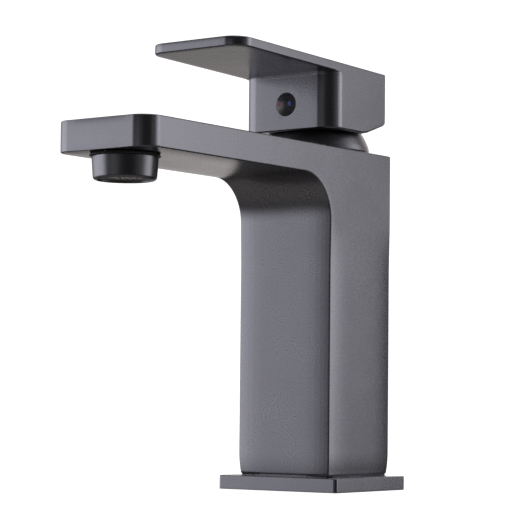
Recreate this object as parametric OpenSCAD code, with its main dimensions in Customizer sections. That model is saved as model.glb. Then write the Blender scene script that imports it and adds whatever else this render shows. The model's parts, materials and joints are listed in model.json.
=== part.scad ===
// Single-lever basin mixer: a square column with a flat spout, a flat lever on a
// domed neck, and the ceramic-disc cartridge that the lever works.
// The origin lies on the deck under the middle of the column. +Z is up, the spout
// and the lever point along -Y, and hot is on the -X side.

/* [Column] */
// Height of the column's top face above the deck
column_top = 134.2; // [115:0.1:220]
// Metal between the cartridge thread and the column's left and right faces
side_wall = 3; // [2:0.1:12]
// Metal between the cartridge thread and the column's front and back faces
front_wall = 2.5; // [1.5:0.1:12]
// Wall round the hollow under the cartridge seat
hollow_wall = 3.5; // [2:0.1:5]
// Radius of the column's upright back edges
column_edge_r = 1.2; // [0.4:0.1:2]
// Height of the shadow gap at the column's foot
foot_gap_h = 0.8; // [0.4:0.1:2]
// Depth of the shadow gap at the column's foot
foot_gap_in = 0.8; // [0.4:0.1:1.5]

/* [Base plate] */
// Thickness of the base plate
plate_t = 5.6; // [4:0.1:9]
// How far the plate shows on the column's left and right
plate_side = 6.25; // [2:0.05:12]
// How far the plate shows in front of the column
plate_front = 4.25; // [2:0.05:12]
// How far the plate shows behind the column
plate_back = 1.9; // [1.5:0.05:12]
// Radius of the plate's upright corners
plate_edge_r = 1.4; // [0.4:0.1:3]
// Radius of the opening that the hoses and studs pass through
passage_r = 16.6; // [15.6:0.1:17]
// Height of the ledge that centres the column on the plate
ledge_h = 1.8; // [1:0.1:3]
// Width of the seal ring under the plate
gasket_w = 3; // [2:0.1:4]
// Depth of the groove that holds the seal ring
gasket_t = 1.6; // [1:0.1:2.5]

/* [Deck fixing and inlets] */
// Distance between the two stud holes
stud_spacing = 23; // [20:0.5:23.5]
// How far the stud holes lie behind the column's middle
stud_back = 4; // [2:0.5:5]
// Radius of the M8 stud holes at their tapping size
stud_hole_r = 3.4; // [2.5:0.1:3.6]
// Depth of the stud holes
stud_depth = 20; // [12:1:30]
// Radius of the bosses round the stud holes
stud_boss_r = 6; // [5:0.1:6.5]
// Radius of the M10 fine hose ports at their tapping size
inlet_r = 4.5; // [3.5:0.1:4.8]
// Depth of the hose ports
inlet_depth = 11; // [8:0.5:16]
// Metal between the hose ports and the cartridge seat
inlet_roof = 3; // [2:0.5:6]

/* [Spout] */
// Distance from the column's axis to the spout's tip
spout_reach = 133.3; // [100:0.1:200]
// Thickness of the spout
spout_t = 12.1; // [10:0.1:20]
// Radius of the spout tip's upright corners
spout_corner_r = 7.1; // [1:0.1:18]
// Radius of the hollow curve between spout and column
fillet_r = 17; // [10:0.5:40]
// Distance from the outlet's axis to the spout's tip
outlet_back = 14.4; // [14:0.1:30]
// Wall above and below the waterway in the spout
water_wall = 3; // [2:0.1:4]
// Width of the waterway in the spout
water_w = 22; // [18:0.5:24]
// Width of the riser from the cartridge chamber to the waterway
riser_w = 14; // [8:0.5:18]
// Height of the riser
riser_h = 4; // [3:0.1:5]

/* [Aerator] */
// Radius of the M22 threaded nipple that the aerator screws on
nipple_r = 10.95; // [10:0.05:14]
// Wall of the nipple
nipple_wall = 2.35; // [1.5:0.05:4]
// Wall of the aerator's shell
shell_wall = 1; // [0.6:0.05:2]
// How far the aerator hangs below the spout
aerator_drop = 9.4; // [7.5:0.1:16]
// Gap between the aerator's shell and the spout
aerator_gap = 0.9; // [0.5:0.1:2]
// Width of the rubber ring between the shell and the spout
aerator_ring_w = 2.05; // [1:0.05:4]
// How far the shell narrows towards its lower rim
shell_taper = 0.5; // [0:0.05:0.9]
// Thickness of the shell's lower lip, the outlet grid, the cage flange and the washer
aerator_layer = 0.95; // [0.7:0.05:1.3]

/* [Cartridge] */
// Radius of the chamber that holds the cartridge
chamber_r = 17.5; // [17:0.1:26]
// Depth of the cartridge seat below the column's top face
chamber_depth = 36.2; // [35:0.1:45]
// Step from the chamber out to the retaining nut's thread
nut_step = 1.5; // [1:0.1:3]
// Height of the retaining nut's thread
nut_thread_h = 9.6; // [6:0.1:11]
// Depth of the lever's pivot below the column's top face
pivot_drop = 4.7; // [3:0.1:6]
// Height of the cartridge's base
base_h = 6.2; // [5.4:0.1:7]
// Thickness of the fixed ceramic disc
fixed_disc_h = 4; // [3:0.1:5]
// Thickness of the moving ceramic disc
moving_disc_h = 3.5; // [2.6:0.1:4]
// Thickness of the disc driver's plate
driver_plate_h = 2.5; // [1.5:0.1:3]
// Distance of the inlet ports from the cartridge's axis
port_ring_r = 9; // [8.6:0.1:9.4]
// Angle between each inlet port and the spout's direction
port_angle = 40; // [38:1:46]
// Radius of the inlet ports
port_r = 2.3; // [1.8:0.1:2.4]
// Radius of the mixed-water port
mixed_r = 3.2; // [2.5:0.1:3.4]

/* [Lever mechanism] */
// Width of the lever's square stem
stem_w = 8; // [6:0.1:9.6]
// How far the stem reaches above the dome's sphere
stem_over_dome = 9.5; // [6:0.1:11]
// Length of the stem's arm below its pivot
arm_l = 9; // [8.5:0.1:9.5]
// Radius of the round end of the arm
arm_end_r = 2.5; // [2:0.1:3]
// Lean of the stem either side of upright, half of the lever's lift
stem_lean = 12.5; // [8:0.5:13]
// Radius of the pivot pin
pin_r = 1.5; // [1:0.1:2]
// Swing of the lever to each side
turn_limit = 50; // [30:1:60]

/* [Dome] */
// Width of the dome's foot on the column's top face
dome_foot_w = 2.9; // [2:0.1:5]
// Thickness of the dome's wall
dome_wall = 1.5; // [1:0.1:2]

/* [Handle] */
// Distance from the column's axis to the handle's tip
lever_reach = 81; // [60:0.5:130]
// Thickness of the handle's blade
blade_t = 3.9; // [3:0.1:6]
// Upward slope of the blade towards its tip, in degrees
blade_rise = 1.35; // [0:0.05:4]
// Radius of the blade tip's corners
tip_r = 7.3; // [1:0.1:18]
// Height of the handle's back top edge above the dome's sphere
handle_over_dome = 15.2; // [14:0.1:23]
// Height of the block's lower edge above the pivot
skirt_h = 11.7; // [11:0.1:13]
// Rise of the block's lower edge from front to back
skirt_rise = 4.9; // [4.5:0.1:6]
// Where the lower edge starts to rise, behind the column's middle
skirt_bend = 3; // [-6:0.5:4]
// Wall of the block beside the dome, at its lower edge
skirt_wall_side = 2.35; // [1.5:0.05:5]
// Wall of the block in front of the dome, at its lower edge
skirt_wall_front = 1.65; // [1.2:0.05:5]
// Wall of the block behind the dome, at its lower edge
skirt_wall_back = 1.9; // [1.5:0.05:5]
// Radius of the block's upright front corners
block_corner_r = 7.3; // [1:0.1:9]
// Gap between the dome and the handle
dome_gap = 0.8; // [0.5:0.05:1.5]
// Radius of the M5 grub screw
screw_r = 2.5; // [1.5:0.1:2.5]
// Gap between the grub screw and the button's plug
screw_gap = 1.1; // [0.8:0.1:3]

/* [Index button] */
// Radius of the index button
button_r = 4.65; // [3.5:0.05:6]
// Height of the button's domed head
button_h = 1.8; // [1:0.1:2.5]
// Depth of the seat that the button sits in
button_seat = 0.6; // [0.3:0.1:1]
// Height of the button's centre above the dome's sphere
button_over_dome = 0.2; // [-1:0.1:2]
// Radius of the hot and cold marks
mark_r = 0.95; // [0.5:0.05:1.2]
// Distance of each mark from the button's centre
mark_x = 2.4; // [1.5:0.1:3]

/* [Hidden] */
$fn = 72;

// Clearances
cut = 1;            // how far a cut runs past the face it opens
loose = 0.3;        // free gap between pieces that move past each other
slide_fit = 0.15;   // gap of a guide on each side
running = 0.06;     // radial gap of a shaft in its hole
drop_in = 0.1;      // radial gap of a piece that is dropped or screwed into a bore
film = 0.02;        // water film between the ceramic discs

// Colours of the finishes
gunmetal = "#57575c";
gunmetal_dark = "#36363a";
raw_brass = "#b8954f";
rubber_black = "#1d1d1f";
ceramic_white = "#e9e4da";
nylon_grey = "#8c9096";
nylon_blue = "#2f6db0";
steel = "#b9bcc0";

// Levels of the cartridge, from its seat up
seat_z = column_top - chamber_depth;
base_step = 3.5;                                // height of the base's outer flange
base_top = seat_z + base_h;
fixed_top = base_top + fixed_disc_h;
moving_z = fixed_top + film;
driver_z = moving_z + moving_disc_h;
carrier_z = driver_z + driver_plate_h + loose;
pivot_z = column_top - pivot_drop;
arm_end_z = pivot_z - arm_l;
driver_top = arm_end_z + 1.2;                   // the slot's walls reach past the arm's end
flange_top = driver_top - 0.4;
housing_step = flange_top + loose;
shoulder_z = column_top - nut_thread_h - 0.6;   // the nut presses the housing down here
housing_top = pivot_z + 8.9;
carrier_top = housing_top - 0.4;

// Radii of the cartridge
thread_r = chamber_r + nut_step;
cart_r = chamber_r - drop_in;
shell_outer_r = chamber_r - 1.1;                // leaves a ring of space for the mixed water
shell_inner_r = chamber_r - 2.3;
hub_r = shell_inner_r - 3.2;
neck_r = hub_r + 2.6;
fixed_disc_r = shell_inner_r - 0.2;
disc_swing = arm_l * sin(stem_lean);            // travel of the moving disc to each side
moving_disc_r = shell_inner_r - disc_swing - loose;
pocket_r = 6.6;                                 // mixing pocket under the moving disc
land_h = 4.4;                                   // height of the ring that carries the O-ring
oring_r = 0.75;                                 // half thickness of the cartridge's O-ring
port_seal_w = 1.6;
disc_seal_w = 1;
pin_place = [chamber_r * 0.58, chamber_r * 0.34];   // locating pins under the base
locating_pin_r = 1.6;
locating_pin_l = 2.5;
driver_half_w = 6.5;                            // half width of the driver's guide block
driver_half_l = 6;                              // half length of the driver's guide block

// Column, plate and spout
column_w = 2 * (thread_r + side_wall);
column_d = 2 * (thread_r + front_wall);
spout_z = column_top - spout_t;
outlet_y = -spout_reach + outlet_back;
hollow_top = seat_z - inlet_roof - inlet_depth;
water_z = spout_z + water_wall;
water_h = spout_t - 2 * water_wall;
plate_w = column_w + 2 * plate_side;
plate_y0 = -column_d / 2 - plate_front;
plate_y1 = column_d / 2 + plate_back;
gasket_r = passage_r + 2.2;
boss_z = plate_t + ledge_h + 0.6;

// Aerator, from its lower rim up
aerator_z = spout_z - aerator_drop;
shell_top = spout_z - aerator_gap;
shell_r = nipple_r + drop_in + shell_wall;
shell_bore_r = nipple_r + drop_in;
grid_z = aerator_z + aerator_layer;
cage_z = grid_z + aerator_layer;
washer_z = cage_z + aerator_layer;
nipple_z = washer_z + aerator_layer;
nipple_bore_r = nipple_r - nipple_wall;
barrel_r = nipple_bore_r - 0.3;                 // the cage's barrel inside the nipple
barrel_wall = 1;
barrel_top = water_z - 0.6;
lip_r = shell_bore_r - 0.7;
rim_r = 1.2;                                    // rounding of the shell's lower rim

// Dome and retaining nut
nut_ring_r = thread_r - 0.8;                    // the nut's ring above the column
dome_bore_r = nut_ring_r + 0.4;
dome_r = norm([dome_bore_r + dome_foot_w, pivot_drop]);
dome_inner_r = dome_r - dome_wall;
dome_foot_r = dome_bore_r + dome_foot_w - 0.35; // a short upright foot under the sphere
dome_open_r = norm([stem_w / 2, dome_r * sin(stem_lean) + stem_w / 2]) + 1;
nut_ring_h = 3.3;
nut_top = column_top + nut_ring_h;
dome_oring_r = 0.85;
dome_oring_z = column_top + 1.5;
nut_slots = 6;
nut_slot_w = 4;

// Handle
cavity_r = dome_r + dome_gap;
mouth_r = sqrt(cavity_r * cavity_r - skirt_h * skirt_h);
lever_w = 2 * (mouth_r + skirt_wall_side);
block_front = mouth_r + skirt_wall_front;
block_back = sqrt(cavity_r * cavity_r - pow(skirt_h + skirt_rise, 2)) + skirt_wall_back;
handle_back_r = 1.2;
skirt_z = pivot_z + skirt_h;
handle_h = dome_r + handle_over_dome;
handle_z = pivot_z + handle_h;
stem_l = dome_r + stem_over_dome;
button_up = dome_r + button_over_dome;
button_z = pivot_z + button_up;
screw_up = block_front * sin(stem_lean) + button_up * cos(stem_lean);
screw_out = block_front * cos(stem_lean) - button_up * sin(stem_lean);
plug_r = 2.9;
plug_l = 2.2;
screw_l = screw_out - stem_w / 2 - button_seat - plug_l - screw_gap;
cap_r = (button_r * button_r + button_h * button_h) / (2 * button_h);
mark_t = 0.6;

// ---- Shared shapes ----

// What a round corner of radius r takes off the corner at [x, y]
module corner_cut(x, y, in_x, in_y, r) {
    difference() {
        translate([x, y]) square(2 * r, center = true);
        translate([x + in_x * r, y + in_y * r]) circle(r);
    }
}

// Plan outline of width w from y0 to y1, with its own radius at each end
module slab_outline(w, y0, y1, r0, r1) {
    difference() {
        translate([-w / 2, y0]) square([w, y1 - y0]);
        for (side = [-1, 1]) {
            corner_cut(side * w / 2, y0, -side, 1, r0);
            corner_cut(side * w / 2, y1, -side, -1, r1);
        }
    }
}

// Extrudes a side view, drawn as [y, z], to width w across the middle plane
module across(w) {
    rotate([90, 0, 90]) translate([0, 0, -w / 2]) linear_extrude(w) children();
}

// Upright ring from z0 to z1
module ring(r_out, r_in, z0, z1) {
    translate([0, 0, z0]) difference() {
        cylinder(r = r_out, h = z1 - z0);
        translate([0, 0, -cut]) cylinder(r = r_in, h = z1 - z0 + 2 * cut);
    }
}

module rod(r, z0, z1) {
    translate([0, 0, z0]) cylinder(r = r, h = z1 - z0);
}

module torus(r, tube_r, z) {
    translate([0, 0, z]) rotate_extrude() translate([r, 0]) circle(tube_r);
}

// Places a child at each of the two inlet ports
module at_ports() {
    for (side = [-1, 1])
        translate([side * port_ring_r * sin(port_angle), -port_ring_r * cos(port_angle), 0])
            children();
}

// Places a child at each of the two stud holes
module at_studs() {
    for (side = [-1, 1]) translate([side * stud_spacing / 2, stud_back, 0]) children();
}

module at_outlet() {
    translate([0, outlet_y, 0]) children();
}

// Frame of the leaning stem: +Z along the stem, -Y towards the front
module at_stem() {
    translate([0, 0, pivot_z]) rotate([stem_lean, 0, 0]) children();
}

// Frame of the index button: +Z out of the block's front face, +Y up
module at_button() {
    translate([0, -block_front, button_z]) rotate([90, 0, 0]) children();
}

// ---- Column, spout and base ----

// Side view of column and spout, with the hollow curve where they meet
module body_profile() {
    translate([-column_d / 2, plate_t + foot_gap_h])
        square([column_d, column_top - plate_t - foot_gap_h]);
    translate([-spout_reach, spout_z]) square([spout_reach, spout_t]);
    difference() {
        translate([-column_d / 2 - fillet_r, spout_z - fillet_r])
            square([fillet_r + cut, fillet_r + cut]);
        translate([-column_d / 2 - fillet_r, spout_z - fillet_r]) circle(fillet_r);
    }
}

module body_outside() {
    intersection() {
        across(column_w) body_profile();
        linear_extrude(column_top)
            slab_outline(column_w, -spout_reach, column_d / 2, spout_corner_r, column_edge_r);
    }
    // narrower foot, which leaves the shadow gap
    translate([0, 0, plate_t]) linear_extrude(foot_gap_h + cut)
        slab_outline(column_w - 2 * foot_gap_in, -column_d / 2 + foot_gap_in,
                     column_d / 2 - foot_gap_in, column_edge_r, column_edge_r);
}

// Threaded nipple under the spout
module outlet_nipple() {
    at_outlet() rod(nipple_r, nipple_z, spout_z + cut);
}

// Hollow under the cartridge seat, open at the foot
module column_hollow() {
    translate([0, 0, plate_t - cut]) linear_extrude(hollow_top - plate_t + cut)
        slab_outline(column_w - 2 * hollow_wall, -column_d / 2 + hollow_wall,
                     column_d / 2 - hollow_wall, column_edge_r, column_edge_r);
}

// Bosses for the deck studs, each joined to the nearer side wall
module stud_bosses() {
    web_l = (column_w - hollow_wall - stud_spacing) / 2;
    for (side = [-1, 1])
        translate([side * stud_spacing / 2, stud_back, boss_z]) {
            cylinder(r = stud_boss_r, h = stud_depth + 4);
            translate([side < 0 ? -web_l : 0, -stud_boss_r, 0])
                cube([web_l, 2 * stud_boss_r, stud_depth + 4]);
        }
}

// Cartridge chamber with the thread for the retaining nut
module chamber() {
    rod(chamber_r, seat_z, column_top + cut);
    rod(thread_r, shoulder_z, column_top + cut);
    for (side = [-1, 1]) translate([side * pin_place.x, pin_place.y, 0])
        rod(locating_pin_r + drop_in, seat_z - locating_pin_l - loose, seat_z + cut);
}

// Hose ports from below, each narrowing to its port in the seat
module inlets() {
    at_ports() {
        rod(inlet_r, hollow_top - cut, hollow_top + inlet_depth);
        rod(port_r, hollow_top, seat_z + cut);
    }
}

// Way of the mixed water: riser, flat channel and outlet bore
module waterway() {
    start = [-chamber_r + 2, spout_z - 6.5];
    end = [-column_d / 2 - 0.6 * fillet_r, water_z + water_h / 2];
    along = end - start;
    translate([0, start.x, start.y]) rotate([-atan2(along.y, -along.x), 0, 0])
        translate([-riser_w / 2, -norm(along), -riser_h / 2])
            cube([riser_w, norm(along), riser_h]);
    translate([-water_w / 2, outlet_y, water_z]) cube([water_w, end.x + 3 - outlet_y, water_h]);
    at_outlet() {
        rod(water_w / 2, water_z, water_z + water_h);
        rod(nipple_bore_r, nipple_z - cut, water_z + cut);
    }
}

module body_casting() color(gunmetal) {
    difference() {
        union() {
            difference() {
                union() {
                    body_outside();
                    outlet_nipple();
                }
                column_hollow();
            }
            stud_bosses();
        }
        chamber();
        inlets();
        waterway();
        at_studs() rod(stud_hole_r, boss_z - cut, boss_z + stud_depth);
    }
}

module base_plate() color(gunmetal) {
    ledge_gap = hollow_wall + slide_fit;
    difference() {
        union() {
            linear_extrude(plate_t)
                slab_outline(plate_w, plate_y0, plate_y1, plate_edge_r, plate_edge_r);
            translate([0, 0, plate_t - cut]) linear_extrude(ledge_h + cut)
                slab_outline(column_w - 2 * ledge_gap, -column_d / 2 + ledge_gap,
                             column_d / 2 - ledge_gap, column_edge_r, column_edge_r);
        }
        rod(passage_r, -cut, plate_t + ledge_h + cut);
        ring(gasket_r + gasket_w, gasket_r, -cut, gasket_t);
    }
}

module base_gasket() color(rubber_black) {
    ring(gasket_r + gasket_w, gasket_r, 0, gasket_t);
}

// ---- Cartridge ----

module cartridge_base() color(nylon_grey) {
    difference() {
        union() {
            rod(cart_r, seat_z, seat_z + base_step);
            rod(shell_inner_r, seat_z, base_top);
            for (side = [-1, 1]) translate([side * pin_place.x, pin_place.y, 0])
                rod(locating_pin_r, seat_z - locating_pin_l, seat_z + cut);
        }
        at_ports() {
            rod(port_r, seat_z - cut, base_top + cut);
            rod(port_r + port_seal_w, seat_z - cut, seat_z + 1.2);
            rod(port_r + disc_seal_w, base_top - 1, base_top + cut);
        }
        rod(mixed_r, seat_z + 1, base_top + cut);
        rod(mixed_r + disc_seal_w, base_top - 1, base_top + cut);
        // the mixed water leaves at the back, into the ring of space round the housing
        translate([-mixed_r, 0, seat_z + 1])
            cube([2 * mixed_r, shell_outer_r, base_step - 1.4]);
        translate([-mixed_r, shell_outer_r - cut, seat_z + 1])
            cube([2 * mixed_r, 2 * cut + chamber_r - shell_outer_r, base_step]);
    }
}

module port_seals() color(rubber_black) {
    at_ports() ring(port_r + port_seal_w, port_r, seat_z, seat_z + 1.2);
}

module disc_seals() color(rubber_black) {
    at_ports() ring(port_r + disc_seal_w, port_r, base_top - 1, base_top);
    ring(mixed_r + disc_seal_w, mixed_r, base_top - 1, base_top);
}

module cartridge_housing() color(nylon_grey) {
    difference() {
        union() {
            rod(shell_outer_r, seat_z + base_step, shoulder_z);
            rod(cart_r, shoulder_z - land_h, shoulder_z);
            rod(neck_r, shoulder_z - cut, housing_top);
        }
        rod(shell_inner_r, seat_z, housing_step);
        rod(hub_r + running, housing_step - cut, housing_top + cut);
        ring(chamber_r + cut, chamber_r - 2 * oring_r, shoulder_z - land_h + 1.1,
             shoulder_z - land_h + 1.1 + 2 * oring_r + 0.2);
        // window whose two ends stop the carrier's lug
        translate([0, 0, carrier_top - 3 - loose])
            rotate([0, 0, -90 - turn_limit - 11])
                rotate_extrude(angle = 2 * turn_limit + 22)
                    translate([hub_r - cut, 0]) square([neck_r - hub_r + 2 * cut, 10]);
    }
}

module cartridge_oring() color(rubber_black) {
    torus(chamber_r - oring_r, oring_r, shoulder_z - land_h + 1.2 + oring_r);
}

module fixed_disc() color(ceramic_white) {
    difference() {
        rod(fixed_disc_r, base_top, fixed_top);
        at_ports() rod(port_r, base_top - cut, fixed_top + cut);
        rod(mixed_r, base_top - cut, fixed_top + cut);
    }
}

// The moving disc and its driver are drawn where the closed lever holds them
module moving_disc() color(ceramic_white) {
    translate([0, disc_swing, 0]) difference() {
        rod(moving_disc_r, moving_z, driver_z);
        rod(pocket_r, moving_z - cut, moving_z + moving_disc_h - 1.3);
    }
}

module disc_driver() color(nylon_blue) {
    slot = arm_end_r + slide_fit;
    translate([0, disc_swing, 0]) difference() {
        union() {
            rod(moving_disc_r, driver_z, driver_z + driver_plate_h);
            translate([-driver_half_w, -driver_half_l, driver_z])
                cube([2 * driver_half_w, 2 * driver_half_l, driver_top - driver_z]);
        }
        translate([-driver_half_w - cut, -slot, arm_end_z - arm_end_r - loose])
            cube([2 * (driver_half_w + cut), 2 * slot, arm_l]);
    }
}

// Side view of the room that the stem needs while it swings, half w wide at the pivot
module swing_room(half, reach, up) {
    edge = half / cos(stem_lean);
    far = edge + reach * tan(stem_lean);
    polygon([[-edge, pivot_z], [-far, pivot_z + up * reach],
             [far, pivot_z + up * reach], [edge, pivot_z]]);
}

module lever_carrier() color(nylon_blue) {
    room = stem_w / 2 + loose;
    pocket_w = driver_half_w + slide_fit;
    pocket_l = driver_half_l + disc_swing + loose;
    difference() {
        union() {
            rod(shell_inner_r - 0.2, carrier_z, flange_top);
            rod(hub_r, carrier_z, carrier_top);
            translate([0, 0, carrier_top - 3]) rotate([0, 0, -100])
                rotate_extrude(angle = 20)
                    translate([hub_r - cut, 0]) square([neck_r - hub_r + cut - 0.6, 3]);
        }
        across(stem_w + 2 * slide_fit) {
            translate([0, pivot_z]) circle(room);
            swing_room(room, carrier_top - pivot_z + cut, 1);
            swing_room(arm_end_r + loose, pivot_z - carrier_z + cut, -1);
        }
        translate([-pocket_w, -pocket_l, carrier_z - cut])
            cube([2 * pocket_w, 2 * pocket_l, driver_top + loose - carrier_z + cut]);
        across(2 * (hub_r - 1)) translate([0, pivot_z]) circle(pin_r);
    }
}

module pivot_pin() color(steel) {
    across(2 * (hub_r - 1)) translate([0, pivot_z]) circle(pin_r);
}

module lever_stem() color(raw_brass) {
    at_stem() difference() {
        union() {
            translate([-stem_w / 2, -stem_w / 2, 0]) cube([stem_w, stem_w, stem_l]);
            across(stem_w) circle(stem_w / 2);
            translate([-stem_w / 2, 0.5 - arm_end_r, -arm_l])
                cube([stem_w, 2 * arm_end_r - 1, arm_l]);
            across(stem_w) translate([0, -arm_l]) circle(arm_end_r);
        }
        across(stem_w + 2 * cut) circle(pin_r + running);
    }
}

// ---- Retaining nut and dome ----

module retaining_nut() color(raw_brass) {
    difference() {
        union() {
            rod(thread_r - drop_in, shoulder_z, column_top - loose);
            rod(nut_ring_r, shoulder_z, nut_top);
        }
        rod(neck_r + loose, shoulder_z - cut, nut_top + cut);
        ring(nut_ring_r + cut, dome_bore_r - 2 * dome_oring_r,
             dome_oring_z - dome_oring_r - 0.05, dome_oring_z + dome_oring_r + 0.05);
        // spanner slots
        for (i = [0 : nut_slots - 1]) rotate([0, 0, i * 360 / nut_slots])
            translate([neck_r, -nut_slot_w / 2, nut_top - 0.8]) cube([nut_ring_r, nut_slot_w, 2]);
    }
}

module dome_oring() color(rubber_black) {
    torus(dome_bore_r - dome_oring_r, dome_oring_r, dome_oring_z);
}

module dome_cover() color(gunmetal) {
    difference() {
        intersection() {
            translate([0, 0, pivot_z]) sphere(dome_r);
            rod(dome_foot_r, column_top, column_top + dome_r);
        }
        rod(dome_bore_r, column_top - cut, pivot_z + sqrt(pow(dome_inner_r, 2) - pow(dome_bore_r, 2)));
        translate([0, 0, pivot_z]) sphere(dome_inner_r);
        rod(dome_open_r, column_top, column_top + dome_r);
    }
}

// ---- Handle ----

// Thin blade that rises towards its tip
module blade() {
    tip_z = handle_z + (lever_reach + block_back) * tan(blade_rise);
    intersection() {
        across(lever_w) polygon([
            [block_back, handle_z], [-lever_reach, tip_z],
            [-lever_reach, tip_z - blade_t], [block_back, handle_z - blade_t]]);
        translate([0, 0, skirt_z]) linear_extrude(handle_h)
            slab_outline(lever_w, -lever_reach, block_back, tip_r, handle_back_r);
    }
}

// Block over the dome; its lower edge rises to the back, to clear the column
module block() {
    block_top = handle_z - blade_t / 2;
    intersection() {
        across(lever_w) polygon([
            [-block_front, skirt_z], [skirt_bend, skirt_z], [block_back, skirt_z + skirt_rise],
            [block_back, block_top], [-block_front, block_top]]);
        translate([0, 0, pivot_z]) linear_extrude(handle_h)
            slab_outline(lever_w, -block_front, block_back, block_corner_r, handle_back_r);
    }
}

module handle() color(gunmetal) {
    socket = stem_w + 2 * drop_in;
    difference() {
        union() {
            blade();
            block();
        }
        translate([0, 0, pivot_z]) sphere(cavity_r);
        at_stem() {
            translate([-socket / 2, -socket / 2, cavity_r - 3])
                cube([socket, socket, stem_l - cavity_r + 3 + loose]);
            translate([0, 0, screw_up]) rotate([90, 0, 0]) rod(screw_r, 0, screw_out);
        }
        at_button() {
            rod(button_r + drop_in, -button_seat, cut);
            rod(plug_r + drop_in, -button_seat - plug_l - loose, cut);
        }
    }
}

module grub_screw() color(steel) {
    at_stem() translate([0, 0, screw_up]) rotate([90, 0, 0]) difference() {
        rod(screw_r, stem_w / 2, stem_w / 2 + screw_l);
        translate([0, 0, stem_w / 2 + screw_l - 3]) cylinder(r = screw_r * 0.58, h = 4, $fn = 6);
    }
}

// ---- Index button ----

// Round inlay at x, reaching from below the head's surface to its height there
module inlay(x, h) {
    face_z = button_h - cap_r + sqrt(cap_r * cap_r - x * x);
    translate([x, 0, face_z - mark_t]) cylinder(r = mark_r, h = h);
}

module index_button() color("#141416") {
    at_button() difference() {
        union() {
            intersection() {
                translate([0, 0, button_h - cap_r]) sphere(cap_r);
                rod(button_r, 0, button_h + cut);
            }
            rod(button_r, -button_seat, 0.01);
            rod(plug_r, -button_seat - plug_l, 0);
        }
        for (side = [-1, 1]) inlay(side * mark_x, button_h);
    }
}

module hot_mark() color("#b3313a") at_button() inlay(-mark_x, mark_t);

module cold_mark() color("#2a49b8") at_button() inlay(mark_x, mark_t);

// ---- Aerator ----

module aerator_shell() color(gunmetal_dark) {
    low_r = shell_r - shell_taper;
    at_outlet() translate([0, 0, aerator_z]) rotate_extrude() difference() {
        union() {
            polygon([[lip_r, rim_r], [low_r, rim_r], [shell_r, shell_top - aerator_z],
                     [lip_r, shell_top - aerator_z]]);
            intersection() {
                translate([low_r - rim_r, rim_r]) circle(rim_r);
                translate([lip_r, 0]) square([low_r, 2 * rim_r]);
            }
        }
        translate([0, aerator_layer])
            square([shell_bore_r, shell_top - aerator_z]);
    }
}

module aerator_ring() color(rubber_black) {
    at_outlet() ring(nipple_r + aerator_ring_w, nipple_r, shell_top, spout_z);
}

module outlet_grid() color(steel) {
    rings = 4;
    pitch = 2.3;
    at_outlet() difference() {
        rod(shell_bore_r - drop_in, grid_z, cage_z);
        for (i = [1 : rings - 1], j = [0 : 6 * i - 1])
            rotate([0, 0, j * 60 / i]) translate([i * pitch, 0, 0])
                rod(0.8, grid_z - cut, cage_z + cut);
        rod(0.8, grid_z - cut, cage_z + cut);
    }
}

module aerator_cage() color(nylon_grey) {
    at_outlet() difference() {
        union() {
            rod(shell_bore_r - drop_in, cage_z, washer_z);
            rod(barrel_r, cage_z, barrel_top);
        }
        rod(barrel_r - barrel_wall, cage_z + aerator_layer, barrel_top + cut);
        for (i = [0 : 7]) rotate([0, 0, i * 45])
            translate([barrel_r * 0.6, 0, 0]) rod(1.2, cage_z - cut, washer_z + cut);
    }
}

module aerator_washer() color(rubber_black) {
    at_outlet() ring(nipple_r, barrel_r + drop_in, washer_z, nipple_z);
}

module flow_regulator() color(nylon_blue) {
    room_r = barrel_r - barrel_wall - drop_in;
    at_outlet() difference() {
        rod(room_r, barrel_top - 3, barrel_top - 0.8);
        for (i = [0 : 5]) rotate([0, 0, i * 60])
            translate([room_r * 0.62, 0, 0]) rod(0.9, barrel_top - 4, barrel_top);
    }
}

module inlet_screen() color(steel) {
    rise = 1.8;
    at_outlet() translate([0, 0, barrel_top]) rotate_extrude()
        polygon([[0, rise], [1.5, rise], [barrel_r - 0.4, 0.5], [barrel_r - 0.4, 0],
                 [barrel_r - 1.4, 0], [1.2, rise - 0.5], [0, rise - 0.5]]);
}

body_casting();
base_plate();
base_gasket();
cartridge_base();
cartridge_housing();
cartridge_oring();
port_seals();
disc_seals();
fixed_disc();
moving_disc();
disc_driver();
lever_carrier();
pivot_pin();
lever_stem();
retaining_nut();
dome_oring();
dome_cover();
handle();
grub_screw();
index_button();
hot_mark();
cold_mark();
aerator_shell();
aerator_ring();
aerator_washer();
aerator_cage();
flow_regulator();
inlet_screen();
outlet_grid();
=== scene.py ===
import json
import math

import bmesh
import bpy
import numpy as np
from mathutils import Matrix, Vector


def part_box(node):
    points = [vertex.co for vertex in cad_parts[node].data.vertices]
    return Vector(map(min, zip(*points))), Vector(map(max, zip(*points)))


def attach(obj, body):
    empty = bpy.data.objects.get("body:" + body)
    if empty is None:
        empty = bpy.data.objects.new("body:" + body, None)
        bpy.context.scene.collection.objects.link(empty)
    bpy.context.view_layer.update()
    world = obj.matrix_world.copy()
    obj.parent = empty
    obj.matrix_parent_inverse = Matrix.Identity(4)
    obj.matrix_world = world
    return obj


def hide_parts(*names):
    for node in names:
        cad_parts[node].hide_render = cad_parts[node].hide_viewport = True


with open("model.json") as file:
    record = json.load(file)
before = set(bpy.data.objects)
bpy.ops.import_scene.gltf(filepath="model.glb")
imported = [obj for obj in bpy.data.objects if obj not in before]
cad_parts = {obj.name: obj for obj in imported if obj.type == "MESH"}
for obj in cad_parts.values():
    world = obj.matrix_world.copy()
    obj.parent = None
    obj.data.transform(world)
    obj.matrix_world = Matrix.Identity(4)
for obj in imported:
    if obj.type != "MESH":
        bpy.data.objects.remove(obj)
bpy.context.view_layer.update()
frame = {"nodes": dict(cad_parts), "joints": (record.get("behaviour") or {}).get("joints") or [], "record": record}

MM = 0.001


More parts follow.
